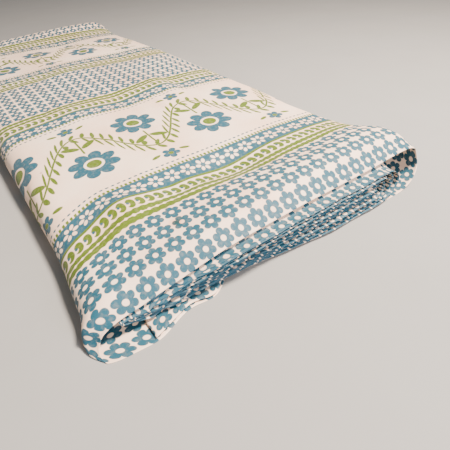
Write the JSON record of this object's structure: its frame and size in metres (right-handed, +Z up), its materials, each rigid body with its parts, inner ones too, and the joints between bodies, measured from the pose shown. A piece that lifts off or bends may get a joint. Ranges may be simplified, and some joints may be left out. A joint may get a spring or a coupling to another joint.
{
  "type": "bundle of folded cotton fabric",
  "caption": "Length of printed cotton fabric wound flat into a soft bundle, with stacked selvage edges at its ends, a round turn on one side and a loose end underneath.",
  "frame": {"origin": "on the surface that it lies on, under the middle of the bundle's box", "axes": "+X across the bundle to its round turn, +Y along the cloth's width from the near selvages to the far ones, +Z up"},
  "size_m": [0.3826, 0.9331, 0.0548],
  "materials": {
    "printed_cotton": "plain-weave cotton, matt with a slight sheen, screen printed in blue and olive green on cream",
    "printed_cotton_inner": "the same cotton, seen as the selvage edges and turns of the laps inside"
  },
  "bodies": {
    "root": {"outer_lap": "printed_cotton", "second_turn": "printed_cotton_inner", "third_turn": "printed_cotton_inner", "layered_core": "printed_cotton_inner", "turned_end": "printed_cotton"}
  },
  "joints": []
}
